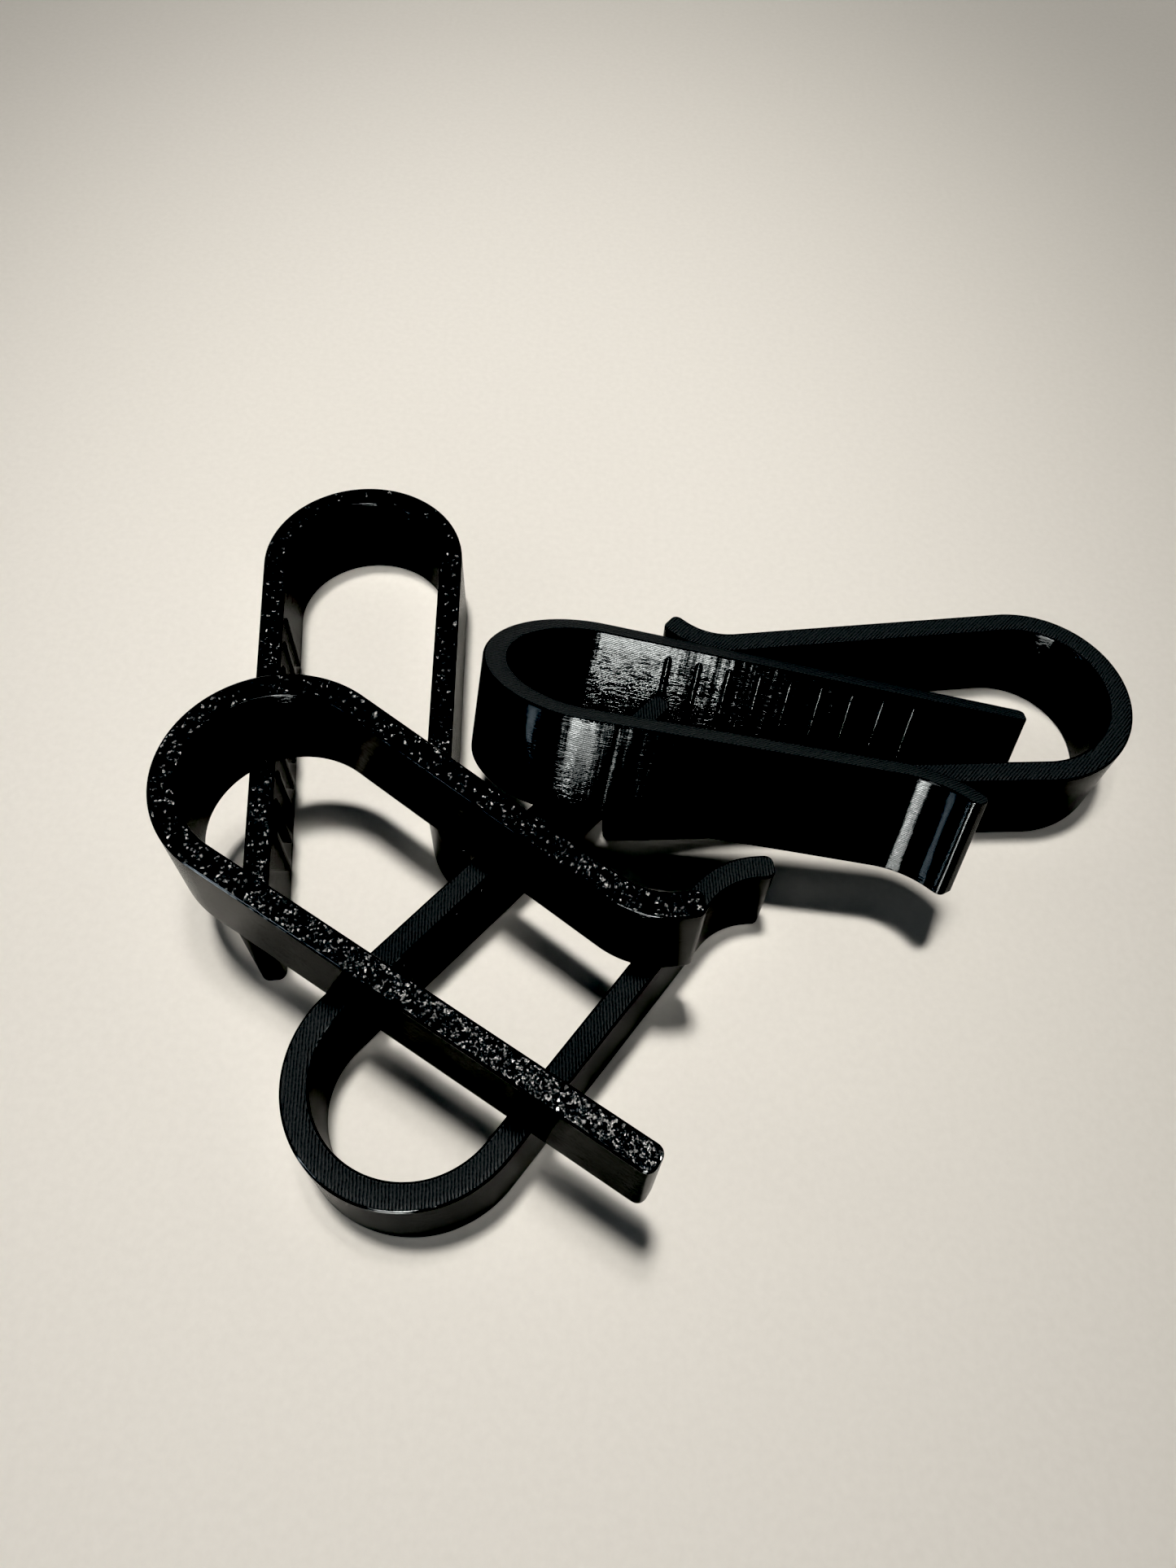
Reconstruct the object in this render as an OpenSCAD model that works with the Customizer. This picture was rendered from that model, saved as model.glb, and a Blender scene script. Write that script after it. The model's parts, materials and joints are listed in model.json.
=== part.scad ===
// Heap of five identical one-piece spring clips, laid out as loose parts on a flat surface.
// Each clip is one flat band bent into a U: a straight back leg, a round bow and a sprung arm
// that closes towards the leg and ends in a lip curling outwards.
// Clip frame: X from the bow's centre to the mouth, +Y on the back leg's side, Z across the band,
// with the band's smooth first-layer face at Z = 0 and its last-layer face at Z = band_w.

/* [Band] */
// Thickness of the band
band_t = 3.4; // [2.4:0.1:4]
// Width of the band, which is the height of the print
band_w = 14.4; // [10:0.4:15]
// Radius of the two corners at each free end of the band
end_r = 1.2; // [0.5:0.1:1.6]

/* [Bow] */
// Outer radius of the bow
bow_r = 15; // [14:0.5:15.5]

/* [Back leg] */
// Length of the straight leg, from the bow's centre to its tip
leg_len = 62; // [54:1:62]
// Number of plain grip ribs across the leg's inner wall
rib_count = 9; // [3:1:12]
// Height of a grip rib
rib_h = 0.4; // [0.2:0.1:0.8]
// Width of a grip rib
rib_w = 1.2; // [0.8:0.1:2]

/* [Spring arm] */
// Length of the arm's straight stretch
arm_len = 40.5; // [32:0.5:41]
// Angle by which the arm closes towards the back leg
arm_lean = 4.5; // [3:0.5:7]
// Radius of the lip, at the middle of the band
lip_r = 11; // [9:0.5:12]
// Angle that the lip turns outwards
lip_turn = 48; // [30:2:60]
// Straight stretch after the lip's bend
lip_tail = 2; // [1.6:0.2:4]

/* [Hidden] */
$fn = 96;

black_plastic = [0.05, 0.055, 0.06];
inner_r = bow_r - band_t;
mid_r = bow_r - band_t / 2;
rib_start = 10;
rib_end = 46;
rib_inset = 1.5;
lip_steps = 16;
corner_steps = 5;

// Gap left between one clip and the clip that lies on it
rest_gap = 0.1;

// Where the heap's own reference point lies in the layout below: the middle of its footprint
heap_middle = [12.7, 78.3];

// Sizes that the layout below was set out for, in the order of `sizes`
layout_sizes = [14.4, 3.4, 15, 62, 40.5];
sizes = [band_w, band_t, bow_r, leg_len, arm_len];

// Bigger clips stand further apart, by the growth of the size that has grown most
spread = max([1, for (i = [0 : len(sizes) - 1]) sizes[i] / layout_sizes[i]]);

// The leaning clip's far edge stands on the floor and its near edge passes over the crossing clip:
// its slope along the leg takes care of a part of the band's width, and a small gap is left below it
lean_pitch = 3;
lean_ease = 1.014;
lean_gap = 0.021;
lean_roll = asin((band_w - lean_ease) / (2 * bow_r));
lean_rise = leg_len * sin(lean_pitch) + bow_r * sin(lean_roll) * cos(lean_pitch) + lean_gap;

// How far the leaning clip moves sideways as the heap spreads, so that its tip stays between the
// rear right clip's leg and arm
lean_slip = 6.7;
lean_side = 87.4 + lean_slip * (spread - 1) / spread;

// Each clip: place of its bow's centre, then its roll about its own length, its pitch,
// its heading, and whether it lies with its first-layer face up
rear_left = [[-36.7, 118, 0], 0, 0, -81, true];
front = [[-37.4, 69.7, band_w + rest_gap], 0, 0, -29.7, true];
crossing = [[-18.2, 38.6, 0], 0, 0, 51.5, false];
rear_right = [[62.8, 101, 0], 0, 0, 186, false];
leaning = [[-1.9, lean_side, lean_rise], -lean_roll, lean_pitch, -7.5, false];
LAYOUT = [rear_left, front, crossing, rear_right, leaning];

// Points along an arc about a middle point, from angle a0 to a1
function arc(middle, r, a0, a1, steps) = [
    for (i = [0 : steps]) let (a = a0 + (a1 - a0) * i / steps) middle + r * [cos(a), sin(a)]
];

// A point turned about the origin
function turned(p, a) = [p[0] * cos(a) - p[1] * sin(a), p[0] * sin(a) + p[1] * cos(a)];

// Strip of band along X with two round corners at its far end, from y0 to y0 + band_t
module strip_outline(length, y0) {
    translate([0, y0]) square([length - end_r, band_t]);
    translate([0, y0 + end_r]) square([length, band_t - 2 * end_r]);
    for (corner_y = [end_r, band_t - end_r]) {
        translate([length - end_r, y0 + corner_y]) circle(r = end_r);
    }
}

module grip_ribs() {
    pitch = (rib_end - rib_start) / (rib_count - 1);
    for (i = [0 : rib_count - 1]) {
        translate([rib_start + i * pitch - rib_w / 2, inner_r - rib_h, rib_inset]) {
            cube([rib_w, 2 * rib_h, band_w - 2 * rib_inset]);
        }
    }
}

module back_leg() {
    color(black_plastic) union() {
        linear_extrude(height = band_w) strip_outline(leg_len, inner_r);
        grip_ribs();
    }
}

module bow() {
    color(black_plastic) rotate([0, 0, 90]) {
        rotate_extrude(angle = 180 + arm_lean) translate([inner_r, 0]) square([band_t, band_w]);
    }
}

// Arm and lip in one outline, in a frame turned by the arm's lean, so that the arm lies along X
function arm_outline() =
    let (
        lip_middle = [arm_len, -mid_r - lip_r],
        end_x = lip_tail - end_r,
        inner_corner = turned([end_x, lip_r + band_t / 2 - end_r], -lip_turn),
        outer_corner = turned([end_x, lip_r - band_t / 2 + end_r], -lip_turn)
    )
    concat(
        [[0, -bow_r], [0, -inner_r]],
        arc(lip_middle, lip_r + band_t / 2, 90, 90 - lip_turn, lip_steps),
        arc(lip_middle + inner_corner, end_r, 90 - lip_turn, -lip_turn, corner_steps),
        arc(lip_middle + outer_corner, end_r, -lip_turn, -90 - lip_turn, corner_steps),
        arc(lip_middle, lip_r - band_t / 2, 90 - lip_turn, 90, lip_steps)
    );

module spring_arm() {
    color(black_plastic) rotate([0, 0, arm_lean]) {
        linear_extrude(height = band_w) polygon(arm_outline());
    }
}

// Stand a clip in its place in the heap
module at_clip(number) {
    spot = LAYOUT[number - 1];
    from_middle = spread * [spot[0][0] - heap_middle[0], spot[0][1] - heap_middle[1]];
    translate([from_middle[0], from_middle[1], spot[0][2]]) {
        rotate([spot[1], spot[2], spot[3]]) {
            if (spot[4]) {
                translate([0, 0, band_w]) rotate([180, 0, 0]) children();
            } else {
                children();
            }
        }
    }
}

at_clip(1) back_leg();  // clip_1_back_leg
at_clip(1) bow();  // clip_1_bow
at_clip(1) spring_arm();  // clip_1_spring_arm
at_clip(2) back_leg();  // clip_2_back_leg
at_clip(2) bow();  // clip_2_bow
at_clip(2) spring_arm();  // clip_2_spring_arm
at_clip(3) back_leg();  // clip_3_back_leg
at_clip(3) bow();  // clip_3_bow
at_clip(3) spring_arm();  // clip_3_spring_arm
at_clip(4) back_leg();  // clip_4_back_leg
at_clip(4) bow();  // clip_4_bow
at_clip(4) spring_arm();  // clip_4_spring_arm
at_clip(5) back_leg();  // clip_5_back_leg
at_clip(5) bow();  // clip_5_bow
at_clip(5) spring_arm();  // clip_5_spring_arm
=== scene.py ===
"""Five black printed spring clips in a loose heap, seen from above at a phone camera's angle.

Each clip is one continuous band: a straight back leg, a half-round bow and a sprung arm with a
lip. It is swept in millimetres in the clip's own frame (X from the bow's centre to the mouth,
+Y towards the back leg, Z across the band, the textured first layer at Z = 0), and then placed
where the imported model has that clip.
"""
import json
import math

import bpy
from mathutils import Matrix, Vector


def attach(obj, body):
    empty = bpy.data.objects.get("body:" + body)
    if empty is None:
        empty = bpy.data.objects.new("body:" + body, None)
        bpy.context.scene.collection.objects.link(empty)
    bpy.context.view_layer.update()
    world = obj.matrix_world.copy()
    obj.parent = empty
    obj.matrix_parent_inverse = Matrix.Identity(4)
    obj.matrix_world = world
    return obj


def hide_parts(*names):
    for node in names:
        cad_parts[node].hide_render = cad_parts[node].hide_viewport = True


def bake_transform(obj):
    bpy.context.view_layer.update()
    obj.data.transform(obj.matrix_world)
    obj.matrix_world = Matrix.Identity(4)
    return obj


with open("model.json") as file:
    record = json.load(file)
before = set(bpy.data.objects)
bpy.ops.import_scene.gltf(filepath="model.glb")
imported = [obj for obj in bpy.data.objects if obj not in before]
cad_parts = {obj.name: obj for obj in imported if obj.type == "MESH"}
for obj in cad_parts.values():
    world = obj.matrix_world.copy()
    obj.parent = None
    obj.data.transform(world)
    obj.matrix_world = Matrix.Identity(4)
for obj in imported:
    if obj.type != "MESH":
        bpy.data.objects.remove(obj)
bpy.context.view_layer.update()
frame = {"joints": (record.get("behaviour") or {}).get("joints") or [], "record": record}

MM = 0.001

# The band, in millimetres, as the part has it
BAND_T = 3.4
BAND_W = 14.4
BOW_R = 15.0
LEG_LEN = 62.0
ARM_LEN = 40.5
ARM_LEAN = math.radians(4.5)
LIP_R = 11.0
LIP_TURN = math.radians(48)
LIP_TAIL = 2.0
END_R = 1.2
MID_R = BOW_R - BAND_T / 2
INNER_R = BOW_R - BAND_T

# Print details, in millimetres: the walls are inset so that the round bow stays inside the box of
# the frame's mesh, whose round faces are made of flat facets
LINE_W = 0.40
LAYER_H = 0.2
EDGE_R = 0.28
GROOVE_DEPTH = 0.07
FOOT_INSET = 0.025
WALL_INSET = 0.005

# Spacing of the band's cross-sections, in millimetres, and their number on a free end's corner
STRAIGHT_STEP = 1.5
BOW_STEP = 0.35
LIP_STEP = 0.4
END_STEPS = 8
WALL_ROWS = 6
CORNER_STEPS = 4

# Slope of the layers' rounded edges on a wall, and how far the wall wanders along the band
WALL_SLOPE = 0.42
WALL_WOBBLE = 0.17

# Greatest slope between the facets that the textured sheet leaves
FACET_SLOPE = 1.2

# Plain grip ribs on the back leg's inner wall, in millimetres: each is bedded in the wall, and
# tapers towards its ends down to a part of its size
RIB_COUNT = 9
RIB_START = 10.0
RIB_END = 46.0
RIB_W = 1.2
RIB_H = 0.4
RIB_INSET = 1.5
RIB_BED = 0.02
RIB_TAPER = 0.8
RIB_TIP = 0.15
RIB_STEPS = 8
RIB_LEVELS = [0.0, 0.15, 0.4, RIB_TAPER]

# Board, in metres: half its side, and the middle and reach of the painted pool of light on it,
# beyond which its colour is painted darker
BOARD_HALF = 3.0
PAINTED_POOL_MIDDLE = (-0.035, 0.055)
PAINTED_POOL_REACH = (0.16, 0.25)

# Camera: tilt below the horizon, roll, lens and sensor in millimetres, and place in metres
CAMERA_PITCH = math.radians(58.28)
CAMERA_ROLL = math.radians(4.04)
CAMERA_LENS = 25.884
CAMERA_SENSOR = 36.0
CAMERA_CLIP = 0.005
CAMERA_PLACE = (-0.0127, -0.0783, 0.1443)

# Colours of the lights, of the room that the clips reflect and of the room behind the board
WARM = (1.0, 0.965, 0.905)
COOL = (0.86, 0.94, 1.0)
ROOM = (0.72, 0.86, 1.0)
ROOM_STRENGTH = 0.035
BACKDROP = (0.46, 0.44, 0.40)

# Sun lamp for the ceiling light: the way it comes from, its strength and its angle in radians
SUN_FROM = (-0.05, 0.085, 0.75)
SUN_STRENGTH = 2.45
SUN_ANGLE = 0.10

# Lamp above the heap, in metres and watts
LAMP_PLACE = (-0.03, 0.035, 0.42)
LAMP_SIDE = 0.042
LAMP_POWER = 0.36

# Lights around the heap: name, azimuth in degrees, distance, height, width and length in metres,
# watts, colour, and whether it lights the floor or only shows as a reflection
LIGHTS_AROUND = [
    ("fill_left", -100, 0.6, 0.5, 0.10, 0.10, 0.14, WARM, True),
    ("fill_right", 65, 0.5, 0.6, 0.16, 0.16, 0.12, WARM, True),
    ("strip_front", -169, 0.55, 0.28, 0.18, 0.50, 66.0, WARM, False),
    ("strip_high", -172, 0.50, 0.68, 0.15, 0.26, 90.0, WARM, False),
    ("strip_left", -119, 0.55, 0.28, 0.035, 0.45, 11.0, COOL, False),
]
LIGHTS_AIM = (0, 0, 0.01)

# Black level of the tone curve, for red, green and blue
BLACK_LEVEL = (0.026, 0.0247, 0.0235)

CLIPS = ["clip_1", "clip_2", "clip_3", "clip_4", "clip_5"]


# ---------------------------------------------------------------- placing

def named(entries, name):
    """The entry of a list of records that has this name."""
    return next(entry for entry in entries if entry["name"] == name)


def clip_matrix(clip):
    """Matrix from a clip's millimetres to the frame's metres, read from its joint and its jaw."""
    joint = named(frame["joints"], f"{clip}_spring")
    jaw = named(frame["record"]["mounts"], f"{clip}_jaw")
    along = Vector(jaw["axis"]).normalized()
    across = -Vector(joint["axis"]).normalized()
    side = across.cross(along)
    hinge_x = -2 * MID_R / math.pi
    middle = Vector(joint["pos_m"]) - along * hinge_x * MM - across * BAND_W / 2 * MM
    turn = Matrix((along, side, across)).transposed().to_4x4()
    return Matrix.Translation(middle) @ turn @ Matrix.Scale(MM, 4)


# ---------------------------------------------------------------- the band's mesh

def end_steps(length):
    """Distances from a free end, close together where its corners are round."""
    return [length * (1 - math.cos(math.pi / 2 * i / END_STEPS)) for i in range(END_STEPS)]


def even_steps(start, stop, step):
    """Evenly spaced values from start towards stop, without stop itself."""
    count = max(1, math.ceil((stop - start) / step))
    return [start + (stop - start) * i / count for i in range(count)]


def path_lengths():
    """Lengths of the leg, bow, arm, lip and tail along the middle of the band."""
    return [LEG_LEN, MID_R * (math.pi + ARM_LEAN), ARM_LEN, LIP_R * LIP_TURN, LIP_TAIL]


def path_point(u):
    """Point and outward normal of the band's middle line, a distance u from the back leg's tip."""
    leg, bow, arm, lip, _ = path_lengths()
    if u < leg:
        return Vector((LEG_LEN - u, MID_R)), Vector((0, 1))
    u -= leg
    if u < bow:
        angle = math.pi / 2 + u / MID_R
        out = Vector((math.cos(angle), math.sin(angle)))
        return out * MID_R, out
    u -= bow
    ahead = Vector((math.cos(ARM_LEAN), math.sin(ARM_LEAN)))
    out = Vector((ahead.y, -ahead.x))
    if u < arm:
        return out * MID_R + ahead * u, out
    u -= arm
    lip_middle = out * (MID_R + LIP_R) + ahead * ARM_LEN
    turn = min(u, lip) / LIP_R
    ray = ahead * math.sin(turn) - out * math.cos(turn)
    point = lip_middle + ray * LIP_R
    heading = Vector((-ray.y, ray.x)) * -1
    return point + heading * max(0, u - lip), -ray


def stations():
    """Distances along the band at which its cross-section is drawn."""
    leg, bow, arm, lip, tail = path_lengths()
    total = leg + bow + arm + lip + tail
    marks = end_steps(END_R)
    marks += even_steps(END_R, leg, STRAIGHT_STEP)
    marks += even_steps(leg, leg + bow, BOW_STEP)
    marks += even_steps(leg + bow, leg + bow + arm, STRAIGHT_STEP)
    marks += even_steps(leg + bow + arm, leg + bow + arm + lip, LIP_STEP)
    marks += even_steps(leg + bow + arm + lip, total - END_R, LIP_STEP)
    marks += [total - step for step in reversed(end_steps(END_R))]
    return marks, total


def corner(d, z, side, up):
    """Rounded corner of the cross-section, from the wall to the face."""
    points = []
    for i in range(CORNER_STEPS + 1):
        angle = math.pi / 2 * i / CORNER_STEPS
        points.append((
            d + side * (EDGE_R * math.cos(angle) - EDGE_R),
            z + up * (EDGE_R * math.sin(angle) - EDGE_R),
            "wall",
        ))
    return points


def face_points(half, z, depth, kind):
    """Points across a printed face, with the line between perimeter and infill sunk by a depth."""
    groove = half - LINE_W
    spread = LINE_W / 5
    row = [
        (groove + spread, z), (groove, z - depth), (groove - spread, z),
        (half / 3, z), (0, z), (-half / 3, z),
        (spread - groove, z), (-groove, z - depth), (-groove - spread, z),
    ]
    return [(d, height, kind) for d, height in row]


def cross_section():
    """Closed outline of the band across its length, as (offset outwards, height, finish)."""
    half = BAND_T / 2
    low, high = EDGE_R, BAND_W - EDGE_R
    heights = [low + (high - low) * i / WALL_ROWS for i in range(1, WALL_ROWS)]
    ring = [(half, z, "wall") for z in heights]
    ring += corner(half, BAND_W, 1, 1)
    ring += face_points(half, BAND_W, GROOVE_DEPTH, "last_layer")
    ring += reversed(corner(-half, BAND_W, -1, 1))
    ring += [(-half, z, "wall") for z in reversed(heights)]
    ring += corner(-half, 0, -1, -1)
    ring += reversed(face_points(half - FOOT_INSET, 0, 0, "first_layer"))
    ring += reversed(corner(half, 0, 1, -1))
    return ring


def narrowing(edge, radius):
    """How far a round corner draws the band in, at a distance from its free end, in millimetres."""
    if edge >= radius:
        return 0.0
    return radius - math.sqrt(radius ** 2 - (radius - edge) ** 2)


def face_of(ring, k):
    """Which printed face the strip between two neighbouring section points belongs to."""
    kinds = {ring[k][2], ring[(k + 1) % len(ring)][2]}
    return next(iter(kinds - {"wall"}), "wall")


def band_mesh(clip, slots):
    """The whole band of one clip, with its plan and its unrolled band as UV maps in millimetres."""
    ring = cross_section()
    marks, total = stations()
    place = clip_matrix(clip)
    half = BAND_T / 2
    verts, plan, band = [], [], []
    for u in marks:
        point, out = path_point(min(u, total - 1e-6))
        edge = min(u, total - u)
        thin, low = narrowing(edge, END_R), narrowing(edge, EDGE_R)
        for d, z, _ in ring:
            offset = d * (half - WALL_INSET - thin) / half
            height = BAND_W / 2 + (z - BAND_W / 2) * (BAND_W / 2 - low) / (BAND_W / 2)
            spot = point + out * offset
            verts.append(place @ Vector((spot.x, spot.y, height)))
            plan.append((spot.x, spot.y))
            band.append((u, height))
    n = len(ring)
    faces, kinds = [], []
    for i in range(len(marks) - 1):
        for k in range(n):
            a, b = i * n + k, i * n + (k + 1) % n
            faces.append((a, a + n, b + n, b))
            kinds.append(face_of(ring, k))
    last = (len(marks) - 1) * n
    faces.append(tuple(range(n)))
    faces.append(tuple(last + k for k in reversed(range(n))))
    kinds += ["wall", "wall"]
    mesh = bpy.data.meshes.new(f"{clip}_band")
    mesh.from_pydata([tuple(v) for v in verts], [], faces)
    for name, values in (("plan", plan), ("band", band)):
        layer = mesh.uv_layers.new(name=name)
        for loop in mesh.loops:
            layer.data[loop.index].uv = values[loop.vertex_index]
    mesh.polygons.foreach_set("material_index", [slots.index(kind) for kind in kinds])
    mesh.polygons.foreach_set("use_smooth", [True] * len(faces))
    mesh.update()
    return mesh


def flip_outwards(mesh):
    """Turns the faces over if the closed mesh has them facing inwards."""
    volume = 0.0
    for polygon in mesh.polygons:
        a = mesh.vertices[polygon.vertices[0]].co
        for i in range(1, len(polygon.vertices) - 1):
            b = mesh.vertices[polygon.vertices[i]].co
            c = mesh.vertices[polygon.vertices[i + 1]].co
            volume += a.dot(b.cross(c))
    if volume < 0:
        mesh.flip_normals()


# ---------------------------------------------------------------- materials

class Nodes:
    """Short calls for building a material's node tree."""

    def __init__(self, name):
        self.material = bpy.data.materials.new(name)
        self.material.use_nodes = True
        self.tree = self.material.node_tree
        self.shader = self.tree.nodes["Principled BSDF"]

    def add(self, kind, **settings):
        node = self.tree.nodes.new(kind)
        for key, value in settings.items():
            setattr(node, key, value)
        return node

    def link(self, source, target):
        self.tree.links.new(source, target)

    def uv(self, name):
        return self.add("ShaderNodeUVMap", uv_map=name).outputs["UV"]

    def math(self, operation, a, b=None):
        node = self.add("ShaderNodeMath", operation=operation)
        for socket, value in ((node.inputs[0], a), (node.inputs[1], b)):
            if value is None:
                continue
            if isinstance(value, (int, float)):
                socket.default_value = value
            else:
                self.link(value, socket)
        return node.outputs[0]

    def vector(self, operation, a, b=None, scale=None):
        node = self.add("ShaderNodeVectorMath", operation=operation)
        for socket, value in ((node.inputs[0], a), (node.inputs[1], b)):
            if value is None:
                continue
            if isinstance(value, tuple):
                socket.default_value = value
            else:
                self.link(value, socket)
        if isinstance(scale, float):
            node.inputs["Scale"].default_value = scale
        elif scale is not None:
            self.link(scale, node.inputs["Scale"])
        return node.outputs["Value"] if operation == "DOT_PRODUCT" else node.outputs["Vector"]

    def noise(self, coords, scale, detail=2.0, roughness=0.5):
        node = self.add("ShaderNodeTexNoise")
        node.inputs["Scale"].default_value = scale
        node.inputs["Detail"].default_value = detail
        node.inputs["Roughness"].default_value = roughness
        self.link(coords, node.inputs["Vector"])
        return node.outputs["Fac"]

    def noise_colour(self, coords, scale):
        node = self.add("ShaderNodeTexNoise")
        node.inputs["Scale"].default_value = scale
        self.link(coords, node.inputs["Vector"])
        return node.outputs["Color"]

    def ramp(self, value, stops):
        node = self.add("ShaderNodeValToRGB")
        for element, (place, shade) in zip(node.color_ramp.elements, stops):
            element.position = place
            element.color = (*shade, 1)
        self.link(value, node.inputs["Fac"])
        return node.outputs["Color"]

    def spread(self, value, low, high):
        node = self.add("ShaderNodeMapRange")
        node.inputs["To Min"].default_value = low
        node.inputs["To Max"].default_value = high
        self.link(value, node.inputs["Value"])
        return node.outputs["Result"]

    def bump(self, height, distance, strength=1.0, under=None):
        node = self.add("ShaderNodeBump")
        node.inputs["Distance"].default_value = distance
        node.inputs["Strength"].default_value = strength
        self.link(height, node.inputs["Height"])
        if under is not None:
            self.link(under, node.inputs["Normal"])
        return node.outputs["Normal"]


def wall_material():
    """The band's walls: stacked layers, which smear each reflection across the band to a streak."""
    n = Nodes("printed_wall")
    uv = n.uv("band")
    normal = n.add("ShaderNodeNewGeometry").outputs["Normal"]
    along = n.add("ShaderNodeTangent", direction_type="UV_MAP", uv_map="band").outputs["Tangent"]
    across = n.vector("CROSS_PRODUCT", normal, along)
    height = n.vector("DOT_PRODUCT", uv, (0, 1, 0))
    length = n.vector("DOT_PRODUCT", uv, (1, 0, 0))
    strand_stretch, layer_shift = 0.55, 3.7
    layer = n.math("FLOOR", n.math("DIVIDE", height, LAYER_H))
    own_layer = n.add("ShaderNodeCombineXYZ")
    n.link(n.math("MULTIPLY", length, strand_stretch), own_layer.inputs["X"])
    n.link(n.math("MULTIPLY", layer, layer_shift), own_layer.inputs["Y"])
    strands = n.noise(own_layer.outputs["Vector"], 1.0, detail=3, roughness=0.6)
    blob_grain, ringing_grain = (3.2, 3.6, 1), (1.3, 0.05, 1)
    blobs = n.noise(n.vector("MULTIPLY", uv, blob_grain), 1.0, detail=3, roughness=0.75)
    rounds = n.math("SINE", n.math("MULTIPLY", height, math.tau / LAYER_H))
    steep = n.math("MULTIPLY", n.math("MULTIPLY", strands, blobs), 4 * WALL_SLOPE)
    slope = n.math("MULTIPLY", rounds, steep)
    ringing = n.noise(n.vector("MULTIPLY", uv, ringing_grain), 1.0, detail=3, roughness=0.6)
    wander = n.math("ADD", n.math("MULTIPLY", strands, 0.4), n.math("MULTIPLY", ringing, 0.6))
    bend = n.spread(wander, -WALL_WOBBLE, WALL_WOBBLE)
    tilt_across = n.vector("SCALE", across, scale=slope)
    tilt_along = n.vector("SCALE", along, scale=bend)
    tilted = n.vector("ADD", n.vector("ADD", normal, tilt_across), tilt_along)
    n.link(n.vector("NORMALIZE", tilted), n.shader.inputs["Normal"])
    black = n.ramp(blobs, [(0.3, (0.0030, 0.0036, 0.0042)), (0.7, (0.0048, 0.0058, 0.0066))])
    n.link(black, n.shader.inputs["Base Color"])
    n.link(n.spread(strands, 0.07, 0.15), n.shader.inputs["Roughness"])
    n.shader.inputs["Specular IOR Level"].default_value = 0.036
    n.shader.inputs["Specular Tint"].default_value = (0.90, 0.97, 1.0, 1)
    return n.material


def last_layer_material():
    """The top of the print: diagonal infill lines with the ridges' rounded backs."""
    n = Nodes("printed_last_layer")
    uv = n.uv("plan")
    diagonal = math.sqrt(0.5)
    across = n.vector("DOT_PRODUCT", uv, (-diagonal, diagonal, 0))
    along = n.vector("DOT_PRODUCT", uv, (diagonal, diagonal, 0))
    wobble = n.math("MULTIPLY", n.noise(uv, 0.9), 0.25)
    phase = n.math("MULTIPLY", n.math("ADD", across, wobble), math.pi / LINE_W)
    ridge = n.math("ABSOLUTE", n.math("SINE", phase))
    grains = n.noise(uv, 3.2, detail=3, roughness=0.6)
    height = n.math("ADD", ridge, n.math("MULTIPLY", grains, 0.7))
    n.link(n.bump(height, 0.00016, 1.0), n.shader.inputs["Normal"])
    black = n.ramp(grains, [(0.35, (0.028, 0.0295, 0.0305)), (0.75, (0.044, 0.047, 0.049))])
    n.link(black, n.shader.inputs["Base Color"])
    n.link(n.spread(grains, 0.36, 0.6), n.shader.inputs["Roughness"])
    n.shader.inputs["Specular IOR Level"].default_value = 0.02
    return n.material


def first_layer_material():
    """The bottom of the print, cast by a textured sheet: small facets, most nearly level."""
    n = Nodes("printed_first_layer")
    uv = n.uv("plan")
    warp = n.vector("SCALE", n.noise_colour(uv, 2.2), scale=0.35)
    cells = n.add("ShaderNodeTexVoronoi", feature="F1")
    cells.inputs["Scale"].default_value = 3.7
    n.link(n.vector("ADD", uv, warp), cells.inputs["Vector"])
    chance = n.add("ShaderNodeSeparateColor")
    n.link(cells.outputs["Color"], chance.inputs["Color"])
    steep = n.spread(n.math("POWER", chance.outputs["Blue"], 1.4), 0.12, FACET_SLOPE)
    normal = n.add("ShaderNodeNewGeometry").outputs["Normal"]
    direction = n.vector("SUBTRACT", cells.outputs["Color"], (0.5, 0.5, 0.5))
    lean = n.vector("SCALE", direction, scale=steep)
    facet = n.vector("NORMALIZE", n.vector("ADD", normal, lean))
    grains = n.noise(uv, 6.0, detail=2)
    n.link(n.bump(grains, 0.00004, 0.6, under=facet), n.shader.inputs["Normal"])
    black = n.ramp(grains, [(0.35, (0.011, 0.0130, 0.0142)), (0.8, (0.020, 0.0232, 0.0250))])
    n.link(black, n.shader.inputs["Base Color"])
    n.shader.inputs["Roughness"].default_value = 0.07
    n.shader.inputs["Specular IOR Level"].default_value = 0.14
    return n.material


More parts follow.
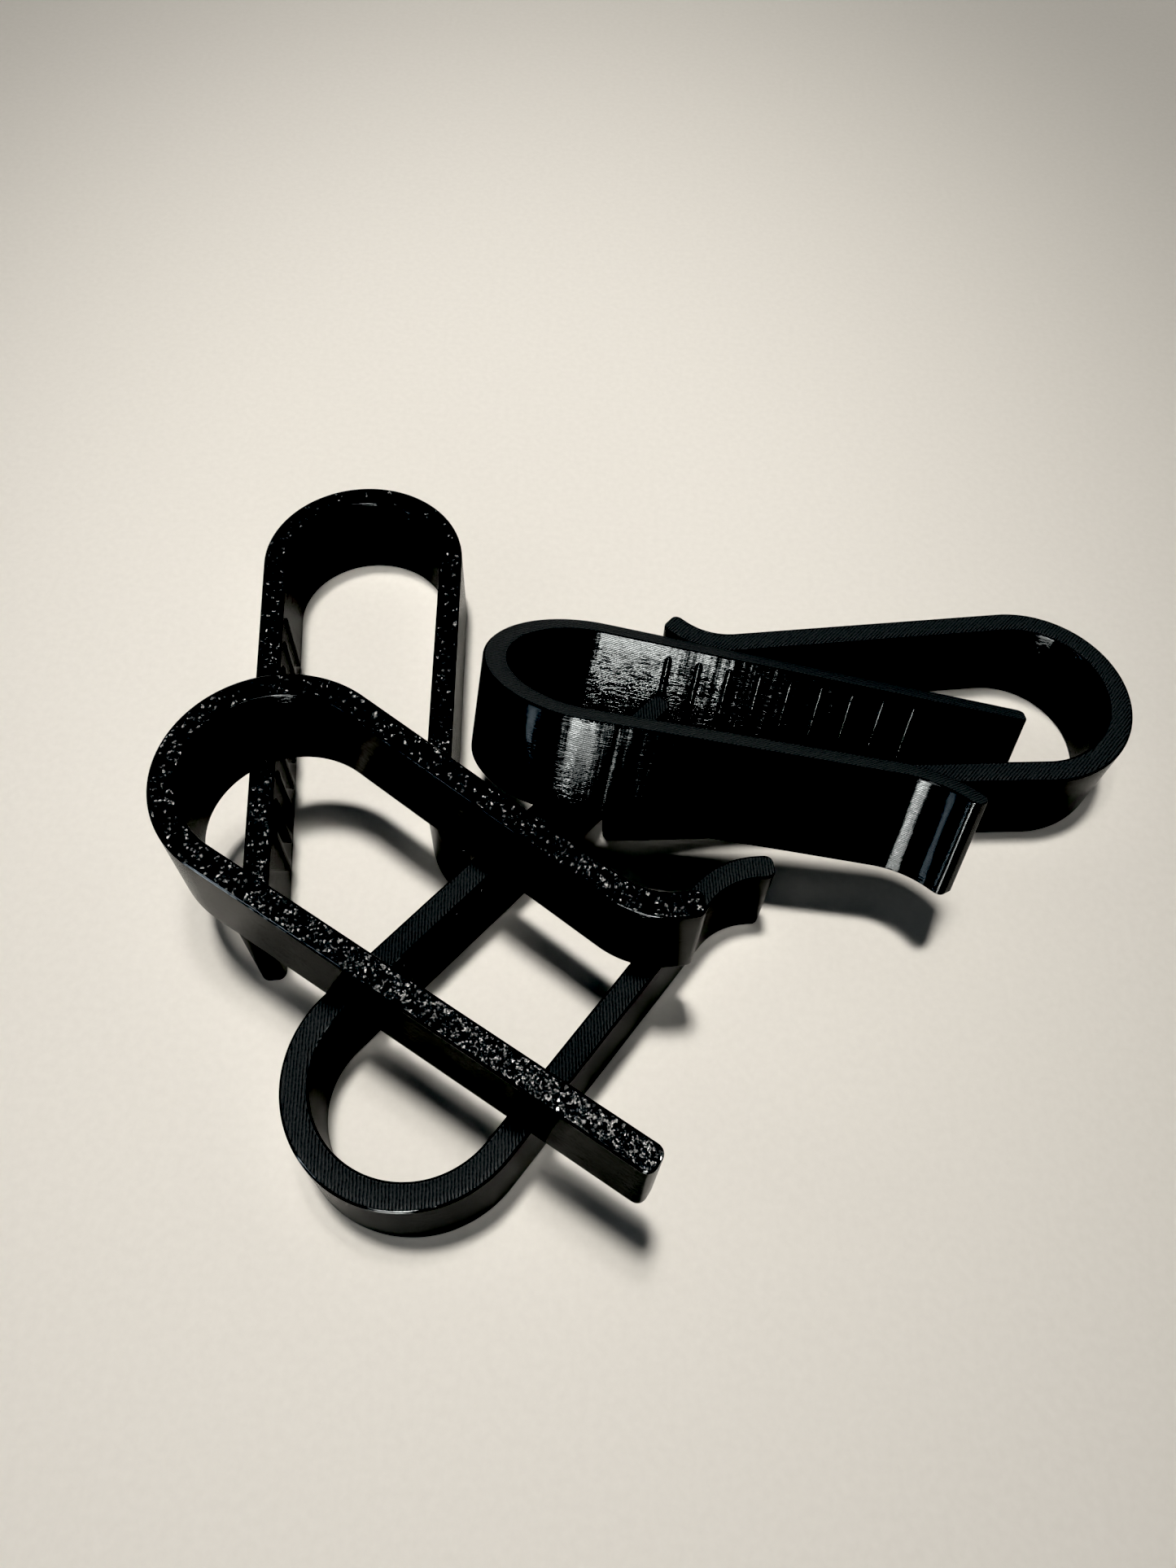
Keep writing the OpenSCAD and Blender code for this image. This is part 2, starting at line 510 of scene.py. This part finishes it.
def floor_material():
    """Plain warm white board with a painted pool of light: its colour is painted darker away from
    the heap, as painted shade for lamp light falling off.
    """
    n = Nodes("pale_board_painted_pool")
    position = n.add("ShaderNodeNewGeometry").outputs["Position"]
    grain = n.noise(n.vector("SCALE", position, scale=900.0), 1.0, detail=4)
    tone = n.ramp(grain, [(0.3, (0.80, 0.775, 0.73)), (0.7, (0.83, 0.805, 0.76))])
    # Painted light: the board's colour is scaled from full in the pool's middle down to half beyond
    # its reach
    from_painted_pool = n.vector("SUBTRACT", position, (*PAINTED_POOL_MIDDLE, 0))
    reach = n.vector("MULTIPLY", from_painted_pool, (1 / PAINTED_POOL_REACH[0], 1 / PAINTED_POOL_REACH[1], 0))
    distance = n.add("ShaderNodeVectorMath", operation="LENGTH")
    n.link(reach, distance.inputs[0])
    painted_falloff = n.add("ShaderNodeMapRange", interpolation_type="SMOOTHSTEP")
    n.link(distance.outputs["Value"], painted_falloff.inputs["Value"])
    painted_falloff_settings = {"From Min": 0.2, "From Max": 1.3, "To Min": 1.0, "To Max": 0.50}
    for socket, value in painted_falloff_settings.items():
        painted_falloff.inputs[socket].default_value = value
    n.link(n.vector("SCALE", tone, scale=painted_falloff.outputs["Result"]), n.shader.inputs["Base Color"])
    n.shader.inputs["Roughness"].default_value = 0.75
    n.shader.inputs["Specular IOR Level"].default_value = 0.0
    return n.material


# ---------------------------------------------------------------- the clips

def rib_outline():
    """Half-round outline of one grip rib, as (along the leg, into the jaw) in millimetres."""
    angles = [math.pi * i / RIB_STEPS for i in range(RIB_STEPS + 1)]
    return [(RIB_W / 2 * math.cos(angle), RIB_H * math.sin(angle)) for angle in angles]


def rib_mesh(clip):
    """The plain ribs on a back leg's inner wall, with ends that taper into the wall."""
    place = clip_matrix(clip)
    outline = rib_outline()
    n = len(outline)
    length = BAND_W - 2 * RIB_INSET
    levels = RIB_LEVELS + [length - level for level in reversed(RIB_LEVELS)]
    pitch = (RIB_END - RIB_START) / (RIB_COUNT - 1)
    verts, faces, band = [], [], []
    for rib in range(RIB_COUNT):
        base = len(verts)
        x = RIB_START + rib * pitch
        for level in levels:
            edge = min(level, length - level)
            grow = math.sin(math.pi / 2 * min(1.0, RIB_TIP + edge / RIB_TAPER))
            for along, rise in outline:
                depth = INNER_R + RIB_BED - rise * grow
                local = Vector((x + along * grow, depth, RIB_INSET + level))
                verts.append(place @ local)
                band.append((LEG_LEN - local.x, local.z))
        for i in range(len(levels) - 1):
            for k in range(n):
                a, b = base + i * n + k, base + i * n + (k + 1) % n
                faces.append((a, b, b + n, a + n))
        faces.append(tuple(base + k for k in reversed(range(n))))
        faces.append(tuple(base + (len(levels) - 1) * n + k for k in range(n)))
    mesh = bpy.data.meshes.new(f"{clip}_grip_ribs")
    mesh.from_pydata([tuple(v) for v in verts], [], faces)
    layer = mesh.uv_layers.new(name="band")
    for loop in mesh.loops:
        layer.data[loop.index].uv = band[loop.vertex_index]
    mesh.polygons.foreach_set("use_smooth", [True] * len(faces))
    mesh.update()
    flip_outwards(mesh)
    return mesh


def add_object(name, mesh, materials):
    obj = bpy.data.objects.new(name, mesh)
    bpy.context.scene.collection.objects.link(obj)
    for material in materials:
        mesh.materials.append(material)
    return obj


def make_clip(clip, materials):
    """One clip's band, curved round its bow, and the ribs on its back leg."""
    slots = list(materials)
    mesh = band_mesh(clip, slots)
    flip_outwards(mesh)
    band = add_object(f"{clip}_band", mesh, materials.values())
    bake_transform(band)
    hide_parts(f"{clip}_back_leg", f"{clip}_bow", f"{clip}_spring_arm")
    ribs = add_object(f"{clip}_grip_ribs", rib_mesh(clip), [materials["wall"]])
    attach(ribs, clip)


# ---------------------------------------------------------------- stage, light and camera

def make_floor():
    corners = [(-1, -1), (1, -1), (1, 1), (-1, 1)]
    mesh = bpy.data.meshes.new("floor")
    mesh.from_pydata([(x * BOARD_HALF, y * BOARD_HALF, 0) for x, y in corners], [], [(0, 1, 2, 3)])
    floor = add_object("floor", mesh, [floor_material()])


def area_light(name, place, target, width, length, power, colour, on_floor):
    """Square-on soft light; one that doesn't light the floor only shows up as a reflection."""
    data = bpy.data.lights.new(name, "AREA")
    data.energy = power
    data.color = colour
    data.shape = "RECTANGLE"
    data.size = width
    data.size_y = length
    light = bpy.data.objects.new(name, data)
    light.location = place
    light.rotation_euler = (Vector(target) - Vector(place)).to_track_quat("-Z", "Y").to_euler()
    light.visible_camera = False
    light.visible_diffuse = on_floor
    bpy.context.scene.collection.objects.link(light)


def around(azimuth, distance, height):
    """Place at an azimuth in degrees (0 to +Y, 90 to +X), a distance and a height in metres."""
    turn = math.radians(azimuth)
    return (distance * math.sin(turn), distance * math.cos(turn), height)


def make_room():
    """A dim cool room for the clips to reflect, with a pale backdrop behind the board."""
    world = bpy.data.worlds.new("room")
    world.use_nodes = True
    tree = world.node_tree
    room = tree.nodes["Background"]
    room.inputs["Color"].default_value = (*ROOM, 1)
    room.inputs["Strength"].default_value = ROOM_STRENGTH
    backdrop = tree.nodes.new("ShaderNodeBackground")
    backdrop.inputs["Color"].default_value = (*BACKDROP, 1)
    ray = tree.nodes.new("ShaderNodeLightPath")
    mix = tree.nodes.new("ShaderNodeMixShader")
    tree.links.new(ray.outputs["Is Camera Ray"], mix.inputs["Fac"])
    tree.links.new(room.outputs["Background"], mix.inputs[1])
    tree.links.new(backdrop.outputs["Background"], mix.inputs[2])
    tree.links.new(mix.outputs["Shader"], tree.nodes["World Output"].inputs["Surface"])
    bpy.context.scene.world = world


def make_lights():
    """A sun lamp for the ceiling, a lamp above the heap, soft fills and tall strips."""
    data = bpy.data.lights.new("ceiling", "SUN")
    data.energy = SUN_STRENGTH
    data.angle = SUN_ANGLE
    data.color = WARM
    sun = bpy.data.objects.new("ceiling", data)
    sun.rotation_euler = Vector(SUN_FROM).to_track_quat("Z", "Y").to_euler()
    bpy.context.scene.collection.objects.link(sun)
    below = (LAMP_PLACE[0], LAMP_PLACE[1], 0)
    area_light("lamp_above", LAMP_PLACE, below, LAMP_SIDE, LAMP_SIDE, LAMP_POWER, WARM, True)
    for name, azimuth, distance, height, width, length, power, colour, on_floor in LIGHTS_AROUND:
        place = around(azimuth, distance, height)
        area_light(name, place, LIGHTS_AIM, width, length, power, colour, on_floor)


def make_camera():
    """A phone's main camera, close above the heap."""
    right = Vector((1, 0, 0))
    up = Vector((0, math.sin(CAMERA_PITCH), math.cos(CAMERA_PITCH)))
    ahead = Vector((0, math.cos(CAMERA_PITCH), -math.sin(CAMERA_PITCH)))
    x_axis = right * math.cos(CAMERA_ROLL) + up * math.sin(CAMERA_ROLL)
    y_axis = up * math.cos(CAMERA_ROLL) - right * math.sin(CAMERA_ROLL)
    data = bpy.data.cameras.new("camera")
    data.sensor_width = CAMERA_SENSOR
    data.lens = CAMERA_LENS
    data.clip_start = CAMERA_CLIP
    camera = bpy.data.objects.new("camera", data)
    turn = Matrix((x_axis, y_axis, -ahead)).transposed().to_4x4()
    camera.matrix_world = Matrix.Translation(CAMERA_PLACE) @ turn
    bpy.context.scene.collection.objects.link(camera)
    bpy.context.scene.camera = camera


def set_grade():
    """Slightly crushed blacks, as a phone's high-contrast filter gives."""
    view = bpy.context.scene.view_settings
    view.view_transform = "Standard"
    view.use_curve_mapping = True
    view.curve_mapping.black_level = BLACK_LEVEL
    view.curve_mapping.update()


set_grade()
make_camera()
make_room()
make_lights()
make_floor()
finishes = {
    "wall": wall_material(),
    "last_layer": last_layer_material(),
    "first_layer": first_layer_material(),
}
for clip_name in CLIPS:
    make_clip(clip_name, finishes)
